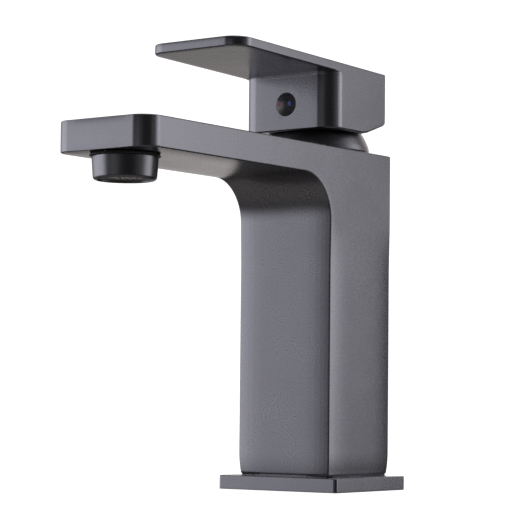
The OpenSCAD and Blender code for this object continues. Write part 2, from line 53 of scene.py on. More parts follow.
def box_mm(node_name):
    """Lowest and highest corner of a CAD node, in millimetres."""
    low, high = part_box(node_name)
    return low / MM, high / MM


# ---- Camera and studio ----

LENS = 144.7
SENSOR = 36.0
EYE = Vector((478.29, -685.86, 35.42))      # to the front right, low beside the column
YAW, PITCH, ROLL = 36.415, 3.818, 0.569     # turned to the left, tilted up, and rolled
CLIP_NEAR, CLIP_FAR = 10.0, 50000.0


def make_camera():
    """Long-lens view from the front right, a little above the table."""
    data = bpy.data.cameras.new("camera")
    data.lens = LENS
    data.sensor_width = SENSOR
    data.clip_start = CLIP_NEAR * MM
    data.clip_end = CLIP_FAR * MM
    camera = bpy.data.objects.new("camera", data)
    bpy.context.scene.collection.objects.link(camera)
    turn = (Matrix.Rotation(math.radians(YAW), 4, "Z")
            @ Matrix.Rotation(math.radians(90 + PITCH), 4, "X")
            @ Matrix.Rotation(math.radians(ROLL), 4, "Z"))
    camera.matrix_world = Matrix.Translation(EYE * MM) @ turn
    bpy.context.scene.camera = camera


def linear(hex_colour):
    """An sRGB colour written as #rrggbb, turned to linear RGBA."""
    parts = [int(hex_colour[i:i + 2], 16) / 255 for i in (1, 3, 5)]
    return tuple(c / 12.92 if c <= 0.04045 else ((c + 0.055) / 1.055) ** 2.4
                 for c in parts) + (1.0,)


def add(tree, kind, inputs=None, **settings):
    """Adds one node, sets its settings, and fills or links its inputs."""
    made = tree.nodes.new(kind)
    for key, value in settings.items():
        setattr(made, key, value)
    for key, value in (inputs or {}).items():
        if isinstance(value, bpy.types.NodeSocket):
            tree.links.new(value, made.inputs[key])
        else:
            made.inputs[key].default_value = value
    return made


# Soft lights round the object: the azimuths, counted from +X towards +Y, at which each begins, is
# full, starts to fade and ends, then the same for elevation, then strength and tint
SOFT_LIGHTS = {
    "left_box": ((-218, -166, -137, -113), (-31, 3, 13, 20), 1.42, "#f6f7ff"),
    "front_fill": ((-118, -94, -92, -56), (-31, 3, 6, 13), 0.2, "#fbfbff"),
    "side_fill": ((-26, 8, 22, 40), (-18, 6, 9, 16), 0.16, "#fbfbff"),
    "right_strip": ((12, 38, 50, 59.5), (-18, 6, 25, 45), 1.5, "#fbfbff"),
    "back_sweep": ((76, 95, 120, 150), (-17.5, -4, 40, 65), 1.15, "#fff8f5"),
    "overhead": ((-400, -300, 300, 400), (34, 70, 95, 100), 0.8, "#ffffff"),
    "table_bounce": ((-400, -300, 300, 400), (-100, -95, -45, -20), 0.13, "#fff6ee"),
}
STUDIO_DARK = 0.03      # light from everywhere else
BACKDROP = 1.2          # brightness of the plain white that only the eye sees


def window(tree, angle, edges):
    """One between the two middle edges, zero outside the outer ones."""
    begins, full, fades, ends = (math.radians(edge) for edge in edges)
    rise = add(tree, "ShaderNodeMapRange", {
        "Value": angle, "From Min": begins, "From Max": full}, interpolation_type="SMOOTHSTEP")
    fall = add(tree, "ShaderNodeMapRange", {
        "Value": angle, "From Min": ends, "From Max": fades}, interpolation_type="SMOOTHSTEP")
    return add(tree, "ShaderNodeMath", {
        0: rise.outputs["Result"], 1: fall.outputs["Result"]}, operation="MULTIPLY").outputs[0]


def make_studio():
    """White to the eye, and nearly dark to the metal but for the soft lights that it mirrors."""
    world = bpy.data.worlds.new("studio")
    bpy.context.scene.world = world
    world.use_nodes = True
    tree = world.node_tree
    tree.nodes.clear()
    toward = add(tree, "ShaderNodeTexCoord").outputs["Generated"]
    height = add(tree, "ShaderNodeSeparateXYZ", {"Vector": toward}).outputs["Z"]
    elevation = add(tree, "ShaderNodeMath", {0: height}, operation="ARCSINE").outputs[0]
    total = add(tree, "ShaderNodeBackground", {
        "Color": linear("#ffffff"), "Strength": STUDIO_DARK}).outputs[0]
    for round_edges, up_edges, strength, tint in SOFT_LIGHTS.values():
        middle = (round_edges[0] + round_edges[3]) / 2
        x, y = math.cos(math.radians(middle)), math.sin(math.radians(middle))
        ahead = add(tree, "ShaderNodeVectorMath", {0: toward, 1: (x, y, 0)},
                    operation="DOT_PRODUCT").outputs["Value"]
        beside = add(tree, "ShaderNodeVectorMath", {0: toward, 1: (-y, x, 0)},
                     operation="DOT_PRODUCT").outputs["Value"]
        azimuth = add(tree, "ShaderNodeMath", {0: beside, 1: ahead},
                      operation="ARCTAN2").outputs[0]
        sideways = window(tree, azimuth, [edge - middle for edge in round_edges])
        upward = window(tree, elevation, up_edges)
        lit = add(tree, "ShaderNodeMath", {
            0: sideways, 1: upward}, operation="MULTIPLY").outputs[0]
        lit = add(tree, "ShaderNodeMath", {0: lit, 1: strength}, operation="MULTIPLY").outputs[0]
        light = add(tree, "ShaderNodeBackground", {"Color": linear(tint), "Strength": lit})
        total = add(tree, "ShaderNodeAddShader", {0: total, 1: light.outputs[0]}).outputs[0]
    white = add(tree, "ShaderNodeBackground", {
        "Color": linear("#ffffff"), "Strength": BACKDROP}).outputs[0]
    seen = add(tree, "ShaderNodeLightPath").outputs["Is Camera Ray"]
    mixed = add(tree, "ShaderNodeMixShader", {"Fac": seen, 1: total, 2: white})
    add(tree, "ShaderNodeOutputWorld", {"Surface": mixed.outputs[0]})
    bpy.context.scene.view_settings.view_transform = "Standard"


make_camera()
make_studio()


# ---- Mesh tools ----

MERGE = 0.001       # points closer than this become one
SLIVER = 0.0001     # edges shorter than this are dissolved
SPARE = 1.0         # a plug that a cut then trims is this much longer than it has to be


def link(mesh, name):
    """Puts a mesh in the scene as an object."""
    piece = bpy.data.objects.new(name, mesh)
    bpy.context.scene.collection.objects.link(piece)
    return piece


def mesh_from(name, points, faces):
    """A mesh in metres from points in millimetres, with coincident points joined."""
    mesh = bpy.data.meshes.new(name)
    mesh.from_pydata([tuple(c * MM for c in p) for p in points], [], faces)
    work = bmesh.new()
    work.from_mesh(mesh)
    bmesh.ops.remove_doubles(work, verts=work.verts, dist=MERGE * MM)
    bmesh.ops.dissolve_degenerate(work, edges=work.edges, dist=SLIVER * MM)
    bmesh.ops.recalc_face_normals(work, faces=work.faces)
    work.to_mesh(mesh)
    work.free()
    return mesh


def finish_mesh(piece, angle):
    """Smooth shading that stays crisp over the given angle, with flat faces kept flat."""
    mesh = piece.data
    mesh.polygons.foreach_set("use_smooth", [True] * len(mesh.polygons))
    mesh.set_sharp_from_angle(angle=math.radians(angle))
    normals = piece.modifiers.new("even_normals", "WEIGHTED_NORMAL")
    normals.keep_sharp = True
    normals.weight = 90


def cut_with(piece, other, operation):
    """Replaces piece's mesh by its exact Boolean with other, and removes other."""
    cutter = piece.modifiers.new("cut", "BOOLEAN")
    cutter.object = other
    cutter.operation = operation
    cutter.solver = "EXACT"
    cutter.material_mode = "TRANSFER"
    bpy.context.view_layer.update()
    graph = bpy.context.evaluated_depsgraph_get()
    done = bpy.data.meshes.new_from_object(piece.evaluated_get(graph))
    piece.modifiers.clear()
    piece.data = done
    bpy.data.objects.remove(other)


def cad_copy(node_name, material):
    """A closed copy of a CAD node's mesh, to cut a new skin with the node's own hollows."""
    mesh = frame["nodes"][node_name].data.copy()
    work = bmesh.new()
    work.from_mesh(mesh)
    bmesh.ops.remove_doubles(work, verts=work.verts, dist=MERGE * MM)
    work.to_mesh(mesh)
    work.free()
    mesh.materials.clear()
    mesh.materials.append(material)
    mesh.polygons.foreach_set("material_index", [0] * len(mesh.polygons))
    return link(mesh, node_name + "_cutter")


def lathe(name, outline, centre=(0.0, 0.0), steps=96, shape=None):
    """Turns an outline of (radius, height) points about an upright axis into a closed ring.

    shape, where it is given, changes each point's radius and height with the angle."""
    points, faces = [], []
    count = len(outline)
    for i in range(steps):
        angle = 2 * math.pi * i / steps
        for j, (radius, height) in enumerate(outline):
            if shape:
                radius, height = shape(angle, radius, height)
            points.append((centre[0] + radius * math.cos(angle),
                           centre[1] + radius * math.sin(angle), height))
    for i in range(steps):
        here, there = i * count, (i + 1) % steps * count
        for j in range(count):
            k = (j + 1) % count
            faces.append((here + j, there + j, there + k, here + k))
    return link(mesh_from(name, points, faces), name)


def arc(centre, radius, start, end, steps):
    """Points (u, v) along an arc, with both ends."""
    return [(centre[0] + radius * math.cos(math.radians(start + (end - start) * i / steps)),
             centre[1] + radius * math.sin(math.radians(start + (end - start) * i / steps)))
            for i in range(steps + 1)]


SKIN = 0.02     # a new skin lies this far inside the CAD faces, so that the cuts stay clean


class Rim:
    """The way a face rolls over an edge: a tight round with a long soft fall on either side.

    Each fall is how far the metal has sunk at the round, and its reach how far away it starts."""

    def __init__(self, radius, face_fall, face_reach, side_fall, side_reach):
        self.reach = face_reach
        pairs = [(0.0, side_reach + (radius - side_reach) * i / 4) for i in range(4)]
        pairs += [(radius * (1 - math.cos(math.radians(a))), radius * (1 - math.sin(math.radians(a))))
                  for a in range(0, 91, 15)]
        pairs += [(radius + (face_reach - radius) * (i / 6) ** 1.7, 0.0) for i in range(1, 7)]
        self.inset = [d + side_fall * (1 - h / side_reach) ** 3 for d, h in pairs]
        self.fall = [h + face_fall * max(0.0, 1 - d / face_reach) ** 3 for d, h in pairs]

    def drop(self, inset):
        """How far the face has fallen at this distance from the edge."""
        return float(np.interp(inset, self.inset, self.fall))


def wall_at(edge, radius, side, inset, outward):
    """Place of an end wall whose plan corners have a radius.

    edge is the wall's place at the middle and outward its direction, side the distance from
    the piece's side face, and inset how far inside the wall (or, if negative, outside)."""
    if inset >= radius:
        return edge - outward * inset
    across_corner = max(0.0, radius - side)
    return edge - outward * radius + outward * math.sqrt(
        max(0.0, (radius - inset) ** 2 - across_corner ** 2))


FILLET_STEPS = 24
STATION_GAP = 0.006     # side views closer together than this are left out
# Shares of a rim's reach, and of the way across a side face, at which points are set
RIM_STEPS = (0.0, 0.012, 0.03, 0.06, 0.1, 0.16, 0.26, 0.42, 0.66, 1.0)
FACE_STEPS = (0.02, 0.05, 0.09, 0.14, 0.21, 0.3, 0.5, 0.7, 0.79, 0.86, 0.91, 0.95, 0.98)


class Slab:
    """A flat slab with a rounded tip at -Y and a drop under its back: spout and column, or
    blade and block. It is built from side views, one for each distance from the side face.

    top, under and foot give the height of those faces at a place y. pinch draws all four
    faces in at a height z, and ease draws the sides in at a place (y, z). levels are the
    heights of the rows of points on a drop whose foot is flat."""

    def __init__(self, half_w, tip, tip_r, back, back_r, front, front_r, top, under, fillet,
                 rim, foot=None, foot_rim=None, levels=(), pinch=None, ease=None):
        self.half_w, self.tip, self.tip_r = half_w, tip, tip_r
        self.back, self.back_r, self.front, self.front_r = back, back_r, front, front_r
        self.top, self.under, self.fillet, self.rim = top, under, fillet, rim
        self.foot, self.foot_rim, self.levels = foot, foot_rim, levels
        self.pinch = pinch or (lambda z: 0.0)
        self.ease = ease or (lambda y, z: 0.0)

    def stations(self):
        """Distances from the side face, close together where the corners turn."""
        turn = [self.tip_r * (1 - math.cos(math.radians(a))) for a in range(0, 91, 6)]
        turn += self.rim.inset
        turn += [self.tip_r + (self.half_w - self.tip_r) * i / 4 for i in (1, 2, 3, 4)]
        kept = []
        for value in sorted(turn):
            if not kept or value - kept[-1] > STATION_GAP:
                kept.append(value)
        return kept

    def side_view(self, side):
        """Closed loop of (y, z) at a distance from the side face, and where its front starts."""
        fall = self.rim.drop(side)
        near = min(side, self.rim.reach)
        loop = []
        front_fall = fall if self.front_r == 0 else 0.0

        # back face, from the foot up
        y = wall_at(self.back, self.back_r, side, 0.0, 1)
        if self.foot_rim:
            foot_near = min(side, self.foot_rim.reach)
            for step in reversed(RIM_STEPS):
                inset = foot_near * step
                yy = wall_at(self.back, self.back_r, side, inset, 1)
                loop.append((yy, self.foot(yy) + self.foot_rim.drop(inset)))
        for z in self.levels:
            loop.append((y - self.pinch(z), z))
        for step in RIM_STEPS:
            inset = near * step
            yy = wall_at(self.back, self.back_r, side, inset, 1)
            loop.append((yy, self.top(yy) - self.rim.drop(inset)))

        # top, tip and underside
        y_back = loop[-1][0]
        y_tip = wall_at(self.tip, self.tip_r, side, near, -1)
        for share in (0.25, 0.5, 0.75):
            yy = y_back + (y_tip - y_back) * share
            loop.append((yy, self.top(yy) - fall))
        for step in reversed(RIM_STEPS):
            inset = near * step
            yy = wall_at(self.tip, self.tip_r, side, inset, -1)
            loop.append((yy, self.top(yy) - self.rim.drop(inset)))
        for step in RIM_STEPS:
            inset = near * step
            yy = wall_at(self.tip, self.tip_r, side, inset, -1)
            loop.append((yy, self.under(yy) + self.rim.drop(inset)))
        radius = self.fillet + fall
        y_fillet = wall_at(self.front, self.front_r, side, -radius, -1) + front_fall
        for share in (0.3, 0.6, 0.85):
            yy = y_tip + (y_fillet - y_tip) * share
            loop.append((yy, self.under(yy) + fall))

        # hollow curve down into the front face
        for i in range(FILLET_STEPS + 1):
            angle = math.radians(90 - 90 * i / FILLET_STEPS)
            out = radius * (1 - math.cos(angle))
            yy = wall_at(self.front, self.front_r, side, -out, -1) + front_fall
            loop.append((yy, self.under(yy) + fall - radius * (1 - math.sin(angle))))
        front_start = len(loop)
        y = wall_at(self.front, self.front_r, side, 0.0, -1) + front_fall
        for z in reversed(self.levels):
            loop.append((y + self.pinch(z), z))
        if self.foot_rim:
            for step in RIM_STEPS:
                inset = foot_near * step
                yy = wall_at(self.front, self.front_r, side, inset, -1)
                loop.append((yy, self.foot(yy) + self.foot_rim.drop(inset)))
            y_front, y_back = loop[-1][0], loop[0][0]
            for share in (0.2, 0.4, 0.5, 0.6, 0.8):
                yy = y_front + (y_back - y_front) * share
                loop.append((yy, self.foot(yy) + self.foot_rim.drop(side)))
        return loop, front_start

    def place(self, sign, side, y, z):
        """Point at a distance from the side face, drawn in where the sides curve."""
        drawn_in = (self.pinch(z) + self.ease(y, z)) / self.half_w
        return (sign * (self.half_w - side) * (1 - drawn_in), y, z)

    def build(self, name, material):
        """The closed skin as an object."""
        stations = self.stations()
        distances = stations + list(reversed(stations[:-1]))
        signs = [1] * len(stations) + [-1] * (len(stations) - 1)
        points, faces = [], []
        for side, sign in zip(distances, signs):
            loop, front_start = self.side_view(side)
            points += [self.place(sign, side, y, z) for y, z in loop]
        count = len(loop)
        for i in range(len(distances) - 1):
            for j in range(count):
                k = (j + 1) % count
                faces.append((i * count + j, (i + 1) * count + j,
                              (i + 1) * count + k, i * count + k))
        rows = len(self.levels)
        for first, sign in ((0, 1), ((len(distances) - 1) * count, -1)):
            if self.foot_rim:
                faces.append(tuple(range(first, first + count)))
                continue
            back = [first + i for i in range(rows)]
            front = [first + front_start + rows - 1 - i for i in range(rows)]
            grid = [[back[0], front[0]]]
            for i in range(1, rows):
                y_back, y_front, z = points[back[i]][1], points[front[i]][1], points[back[i]][2]
                middle = range(len(points), len(points) + len(FACE_STEPS))
                points += [self.place(sign, 0.0, y_back + (y_front - y_back) * share, z)
                           for share in FACE_STEPS]
                grid.append([back[i]] + list(middle) + [front[i]])
            faces.append(tuple(grid[0][::-1] + grid[1]))
            for lower, upper in zip(grid[1:], grid[2:]):
                faces += [(lower[j], upper[j], upper[j + 1], lower[j + 1])
                          for j in range(len(lower) - 1)]
            faces.append(tuple(list(range(back[-1] + 1, front[-1])) + grid[-1][::-1]))
        mesh = mesh_from(name, points, faces)
        mesh.materials.append(material)
        return link(mesh, name)


# ---- Finishes ----

GRAIN_TURN = (0.35, 0.5, 0.2)           # turns the grain so that no flat face lies along it, radians
CLOUD_SHARE = 0.3                       # how much the clouds count beside the speckle
GRAIN_LOW, GRAIN_HIGH = 0.3, 0.7        # the range of noise over which colour and gloss change


def grain_scale(size):
    """Noise scale, in cycles per metre, for a pattern of this size in millimetres."""
    return 1 / (size * MM)


def new_material(name):
    """A new material, and its node tree, its plain shader and the object's coordinates."""
    material = bpy.data.materials.new(name)
    material.use_nodes = True
    tree = material.node_tree
    tree.nodes.clear()
    shader = add(tree, "ShaderNodeBsdfPrincipled")
    add(tree, "ShaderNodeOutputMaterial", {"Surface": shader.outputs["BSDF"]})
    place = add(tree, "ShaderNodeTexCoord").outputs["Object"]
    return material, tree, shader, place


def grainy(name, dark, light, grain, cloud, rough, bump, metal=0.0, ior=None, streak=(1, 1, 1)):
    """A surface with fine speckle of size grain over soft clouds of size cloud.

    dark and light are its two colours, rough its lowest and highest roughness, bump the
    depth of its texture, and streak how many times finer the speckle is along each axis.
    A metal is given no ior and keeps the default."""
    material, tree, shader, place = new_material(name)
    squeezed = add(tree, "ShaderNodeMapping", {
        "Vector": place, "Scale": streak, "Rotation": GRAIN_TURN}).outputs[0]
    speckle = add(tree, "ShaderNodeTexNoise", {
        "Vector": squeezed, "Scale": grain_scale(grain), "Detail": 2.0, "Roughness": 0.6})
    clouds = add(tree, "ShaderNodeTexNoise", {
        "Vector": place, "Scale": grain_scale(cloud), "Detail": 3.0, "Roughness": 0.5})
    both = add(tree, "ShaderNodeMix", {
        0: CLOUD_SHARE, 2: speckle.outputs["Fac"], 3: clouds.outputs["Fac"]}, data_type="FLOAT")
    ramp = add(tree, "ShaderNodeValToRGB", {"Fac": both.outputs[0]})
    first, last = ramp.color_ramp.elements
    first.position, last.position = GRAIN_LOW, GRAIN_HIGH
    first.color, last.color = linear(dark), linear(light)
    gloss = add(tree, "ShaderNodeMapRange", {
        "Value": both.outputs[0], "From Min": GRAIN_LOW, "From Max": GRAIN_HIGH,
        "To Min": rough[0], "To Max": rough[1]})
    relief = add(tree, "ShaderNodeBump", {
        "Height": speckle.outputs["Fac"], "Strength": 1.0, "Distance": bump * MM})
    tree.links.new(ramp.outputs["Color"], shader.inputs["Base Color"])
    tree.links.new(gloss.outputs["Result"], shader.inputs["Roughness"])
    tree.links.new(relief.outputs["Normal"], shader.inputs["Normal"])
    shader.inputs["Metallic"].default_value = metal
    if ior:
        shader.inputs["IOR"].default_value = ior
    return material


def satin_gunmetal():
    """Blasted brass with a gunmetal plating: a cool grey that mirrors softly, with a fine
    sparkle. The real grit is near 0.1 mm; it is drawn at 0.42 mm so that it shows."""
    return grainy("satin_gunmetal_plating", "#848389", "#98979c", 0.42, 16, (0.23, 0.30), 0.0011,
                  metal=1.0)


def satin_shell():
    """The same plating on a turned brass shell: a little darker and less glossy, with its
    grain flattened into faint rings."""
    return grainy("satin_gunmetal_turned", "#7d7c82", "#969599", 0.35, 9, (0.25, 0.32), 0.0012,
                  metal=1.0, streak=(1, 1, 2.5))


def satin_dome():
    """The same plating on the turned dome, blasted longer: duller, with a broad soft glint."""
    return grainy("satin_gunmetal_dome", "#7e7d83", "#9e9da2", 0.5, 12, (0.36, 0.44), 0.0022,
                  metal=1.0)


def machined_brass():
    """Unplated brass, turned and bored: warm yellow with fine tool lines across the axis."""
    return grainy("machined_brass", "#a9803f", "#cfa961", 0.5, 7, (0.28, 0.40), 0.003,
                  metal=1.0, streak=(0.4, 0.4, 2.0))


def turned_steel():
    """Bright turned stainless steel: light grey with faint lines."""
    return grainy("turned_stainless_steel", "#9a9a9c", "#c4c5c8", 0.3, 5, (0.20, 0.30), 0.0015,
                  metal=1.0, streak=(2.2, 0.6, 0.6))


def etched_steel():
    """Etched stainless sheet of the outlet and inlet grids: pale grey, softly mottled, and
    duller than turned steel."""
    return grainy("etched_stainless_sheet", "#a9a9a6", "#dcdcd8", 0.25, 3, (0.26, 0.42), 0.002,
                  metal=1.0)


def moulded_rubber():
    """Moulded black EPDM: nearly black and dull, with a soft bloom of lighter patches."""
    return grainy("moulded_epdm_rubber", "#0d0d0e", "#1f1f21", 0.3, 4, (0.48, 0.66), 0.004,
                  ior=1.50)


def filled_nylon():
    """Glass-filled grey nylon: matt, with short pale fibres that run along the flow."""
    return grainy("glass_filled_nylon", "#6f7277", "#9a9da1", 0.45, 6, (0.42, 0.58), 0.003,
                  ior=1.53, streak=(0.5, 1.4, 1.4))


def acetal():
    """Blue acetal of the sliding pieces: smooth and waxy, with a faint mottle."""
    return grainy("moulded_blue_acetal", "#265a96", "#3573b8", 0.7, 5, (0.26, 0.36), 0.0012,
                  ior=1.48)


def alumina():
    """Lapped alumina: ivory white, fine grained and softly shining."""
    return grainy("lapped_alumina_ceramic", "#d8d2c4", "#efeae0", 0.3, 6, (0.14, 0.24), 0.0008,
                  ior=1.76)


def black_abs():
    """Black ABS from a polished mould: very dark grey with a soft highlight and a little
    orange peel."""
    return grainy("polished_black_abs", "#2e2e31", "#3e3e42", 0.9, 4, (0.24, 0.34), 0.0016,
                  ior=1.54)


def red_enamel():
    """Red print under clear lacquer: a muted wine red, slightly uneven, glossy."""
    return grainy("red_enamel", "#7a2630", "#9c444e", 0.4, 1.2, (0.14, 0.26), 0.001, ior=1.5)


def blue_enamel():
    """Blue print under clear lacquer: a deep navy, slightly uneven, glossy."""
    return grainy("blue_enamel", "#142a66", "#294c98", 0.4, 1.2, (0.14, 0.26), 0.001, ior=1.5)


GUNMETAL = satin_gunmetal()
SHELL = satin_shell()
DOME = satin_dome()
BRASS = machined_brass()
SLOT_FINISH = {
    "body_finish": GUNMETAL, "plate_finish": GUNMETAL, "handle_finish": GUNMETAL,
    "dome_finish": DOME, "aerator_finish": SHELL, "raw_brass": BRASS,
    "pin_steel": turned_steel(), "grid_finish": etched_steel(), "seal_rubber": moulded_rubber(),
    "cartridge_nylon": filled_nylon(), "driver_nylon": acetal(), "disc_ceramic": alumina(),
    "button_plastic": black_abs(), "hot_red": red_enamel(), "cold_blue": blue_enamel(),
}


def dress_cad_nodes():
    """Every CAD node gets the finish of its own slot."""
    for part in frame["record"]["subparts"]:
        mesh = frame["nodes"][part["node"]].data
        mesh.materials.clear()
        mesh.materials.append(SLOT_FINISH[part["material_slot"]])
        mesh.polygons.foreach_set("material_index", [0] * len(mesh.polygons))


def stand_in(piece, node_name, body):
    """Makes piece ride on body in place of a CAD node, which it hides."""
    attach(piece, body)
    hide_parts(node_name)


# ---- Column and spout ----

SPOUT_CORNER_R = 7.1
CAST_BACK_R = 1.2
SPOUT_FILLET_R = 17.0
FOOT_FALL, FOOT_REACH = 0.6, 9.0        # the column's faces curve in towards its foot
SIDE_FALL, SIDE_REACH = 0.35, 13.0      # and its sides curve in towards the front and back,
SIDE_FADE = 14.0                        # less and less over this height below the hollow curve
GAP_H, GAP_DEPTH = 0.8, 0.3             # shadow gap: its height, and its depth behind the foot
GAP_EDGE = 0.05                         # half the height of the gap's slanting upper edge
CURVE_CLEAR = 1.0                       # the straight drop ends this far below the hollow curve
NIPPLE_OVER = 0.3                       # the plug for the outlet's nipple is this much too wide


def make_body():
    """Column and spout in one casting, with its machined hollows left in raw brass."""
    low, high = box_mm("body_casting")
    spout_under = box_mm("aerator_ring")[1].z
    washer_low, washer_high = box_mm("aerator_washer")
    outlet_y = (washer_low.y + washer_high.y) / 2
    half_w, back, front = high.x - SKIN, high.y - SKIN, low.y
    gap_top = low.z + GAP_H
    straight_top = spout_under - SPOUT_FILLET_R - CURVE_CLEAR

    def ease(y, z):
        if y < -back:
            return 0.0
        near = max(0.0, 1 - (back - abs(y)) / SIDE_REACH)
        return SIDE_FALL * near ** 2.5 * min(1.0, max(0.0, (straight_top - z) / SIDE_FADE))

    def pinch(z):
        if z < gap_top:
            return FOOT_FALL + GAP_DEPTH
        return FOOT_FALL * max(0.0, 1 - (z - gap_top) / FOOT_REACH) ** 2.2

    levels = [low.z + SKIN, gap_top - GAP_EDGE, gap_top + GAP_EDGE]
    levels += [gap_top + FOOT_REACH * (i / 8) ** 1.3 for i in range(1, 9)]
    levels += [30.0, 50.0, 70.0]
    levels += [straight_top - down for down in (25, 16, 8, 0)]
    body = Slab(half_w, tip=front + SKIN, tip_r=SPOUT_CORNER_R, back=back, back_r=CAST_BACK_R,
                front=-back, front_r=0.0, top=lambda y: high.z - SKIN,
                under=lambda y: spout_under + SKIN, fillet=SPOUT_FILLET_R,
                rim=Rim(0.45, face_fall=0.35, face_reach=13.0, side_fall=0.05, side_reach=3.2),
                levels=levels, pinch=pinch, ease=ease)
    skin = body.build("body_casting_cast", GUNMETAL)
    nipple_r = (washer_high.y - washer_low.y) / 2 + NIPPLE_OVER
    nipple_low, nipple_high = washer_high.z - SPARE, spout_under + SPARE
    nipple = lathe("nipple", [(0.01, nipple_low), (nipple_r, nipple_low),
                              (nipple_r, nipple_high), (0.01, nipple_high)],
                   (0.0, outlet_y), 64)
    nipple.data.materials.append(GUNMETAL)
    cut_with(skin, nipple, "UNION")
    cut_with(skin, cad_copy("body_casting", BRASS), "INTERSECT")
    finish_mesh(skin, 40)
    stand_in(skin, "body_casting", "column")


# ---- Base plate ----

PLATE_CORNER_R = 1.4
PLATE_UNDER = 0.7                       # its lower edge is rolled by this share of the upper one
LEDGE_BORE_R, LEDGE_R = 15.0, 25.5      # a ring that holds all of the ledge inside the column
LEDGE_SINK = 1.5


def plate_outline(low, high, inset, corner_r):
    """The plate's rounded rectangle at a distance inside its box."""
    radius = max(0.02, corner_r - inset)
    x, y = high.x - inset - radius, high.y - inset - radius
    y_low = low.y + inset + radius
    points = []
    for cx, cy, start in ((x, y, 0), (-x, y, 90), (-x, y_low, 180), (x, y_low, 270)):
        points += arc((cx, cy), radius, start, start + 90, 8)
    return points


def make_plate():
    """Square base plate with softly rolled edges."""
    low, high = box_mm("base_plate")
    top = box_mm("body_casting")[0].z
    rim = Rim(0.3, face_fall=0.06, face_reach=4.0, side_fall=0.03, side_reach=1.8)
    rings = [(d, top - SKIN - h) for d, h in zip(reversed(rim.inset), reversed(rim.fall))]
    rings += [(d, low.z + SKIN + h * PLATE_UNDER) for d, h in zip(rim.inset, rim.fall)]
    points, faces = [], []
    for inset, z in rings:
        points += [(x, y, z) for x, y in plate_outline(low, high, inset + SKIN, PLATE_CORNER_R)]
    count = len(points) // len(rings)
    for i in range(len(rings) - 1):
        for j in range(count):
            k = (j + 1) % count
            faces.append((i * count + j, i * count + k, (i + 1) * count + k, (i + 1) * count + j))
    faces.append(tuple(range(count)))
    faces.append(tuple(range(len(points) - count, len(points))))
    mesh = mesh_from("base_plate_cast", points, faces)
    mesh.materials.append(GUNMETAL)
    plate = link(mesh, "base_plate_cast")
    ledge_low, ledge_high = top - LEDGE_SINK, high.z + SPARE
    ledge = lathe("ledge", [(LEDGE_BORE_R, ledge_low), (LEDGE_R, ledge_low),
                            (LEDGE_R, ledge_high), (LEDGE_BORE_R, ledge_high)], steps=64)
    ledge.data.materials.append(GUNMETAL)
    cut_with(plate, ledge, "UNION")
    cut_with(plate, cad_copy("base_plate", GUNMETAL), "INTERSECT")
    finish_mesh(plate, 40)
    stand_in(plate, "base_plate", "column")


# ---- Dome ----

DOME_WALL = 1.5
DOME_BORE_R = 18.6
DOME_FOOT_IN = 0.35      # how far the upright foot stands inside the sphere
DOME_FOOT_H = 1.3        # the sphere's outline starts at this height
DOME_LIP = 0.4           # radius of the lip round the opening


def make_dome():
    """The domed neck, turned from brass: a sphere with softened lips."""
    low, high = box_mm("dome_cover")
    lift = next(j for j in frame["joints"] if j["name"] == "flow_lift")
    pivot = Vector(lift["pos_m"]) / MM
    foot_r = high.x
    outer = math.hypot(foot_r + DOME_FOOT_IN, low.z - pivot.z) - SKIN
    inner = outer - DOME_WALL
    open_r = math.sqrt(outer ** 2 - (high.z - pivot.z) ** 2)
    start = math.degrees(math.asin((low.z + DOME_FOOT_H - pivot.z) / outer))
    end = math.degrees(math.acos((open_r + DOME_LIP) / outer))
    outline = [(foot_r - 0.5, low.z), (foot_r - 0.1, low.z + 0.08), (foot_r, low.z + 0.3),
               (foot_r, low.z + 0.9)]
    outline += [(r, z) for r, z in arc((0, pivot.z), outer, start, end, 26) if r < foot_r]
    top_z = outline[-1][1]
    outline += arc((open_r + DOME_LIP, top_z - DOME_LIP), DOME_LIP, 80, 180, 6)
    outline += arc((0, pivot.z), inner, math.degrees(math.acos(open_r / inner)),
                   math.degrees(math.acos(DOME_BORE_R / inner)), 16)
    outline += [(DOME_BORE_R, low.z)]
    dome = lathe("dome_cover_turned", outline, steps=128)
    dome.data.materials.append(DOME)
    finish_mesh(dome, 50)
    stand_in(dome, "dome_cover", "column")


# ---- Handle ----

BLADE_T = 3.9
BLADE_RISE = 1.35                       # slope of the blade, up towards its tip
TIP_R = 7.3
BLOCK_R = 7.3                           # upright corners of the block's front
SKIRT_RISE, SKIRT_BEND = 4.9, 3.0       # the block's foot climbs to the back from this y on
BACK_TOP_R, BACK_FOOT_R = 2.0, 5.0      # soft corners of the block seen from the side
BUTTON_H = 1.8                          # how far the index button stands out of the block
BLADE_FILLET_R = 1.4
CUT_UNDER, CUT_PAST = 3.0, 2.0          # how far the cutter for the corners reaches past the block


def rounded(corners, radii, steps=7):
    """A convex outline, counter-clockwise, with each corner rolled to its radius."""
    outline = []
    for i, (corner, radius) in enumerate(zip(corners, radii)):
        here = Vector(corner)
        if radius == 0:
            outline.append(tuple(here))
            continue
        before = (Vector(corners[i - 1]) - here).normalized()
        after = (Vector(corners[(i + 1) % len(corners)]) - here).normalized()
        half = before.angle(after) / 2
        centre = here + (before + after).normalized() * (radius / math.sin(half))
        first = (here + before * (radius / math.tan(half)) - centre).normalized()
        last = (here + after * (radius / math.tan(half)) - centre).normalized()
        for step in range(steps + 1):
            outline.append(tuple(centre + first.slerp(last, step / steps) * radius))
    return outline


def across(name, outline, half_w):
    """A side view, given as (y, z), extruded to both sides of the middle plane."""
    points = [(x, y, z) for x in (-half_w, half_w) for y, z in outline]
    count = len(outline)
    faces = [tuple(range(count)), tuple(range(2 * count - 1, count - 1, -1))]
    faces += [(i, (i + 1) % count, (i + 1) % count + count, i + count) for i in range(count)]
    return link(mesh_from(name, points, faces), name)


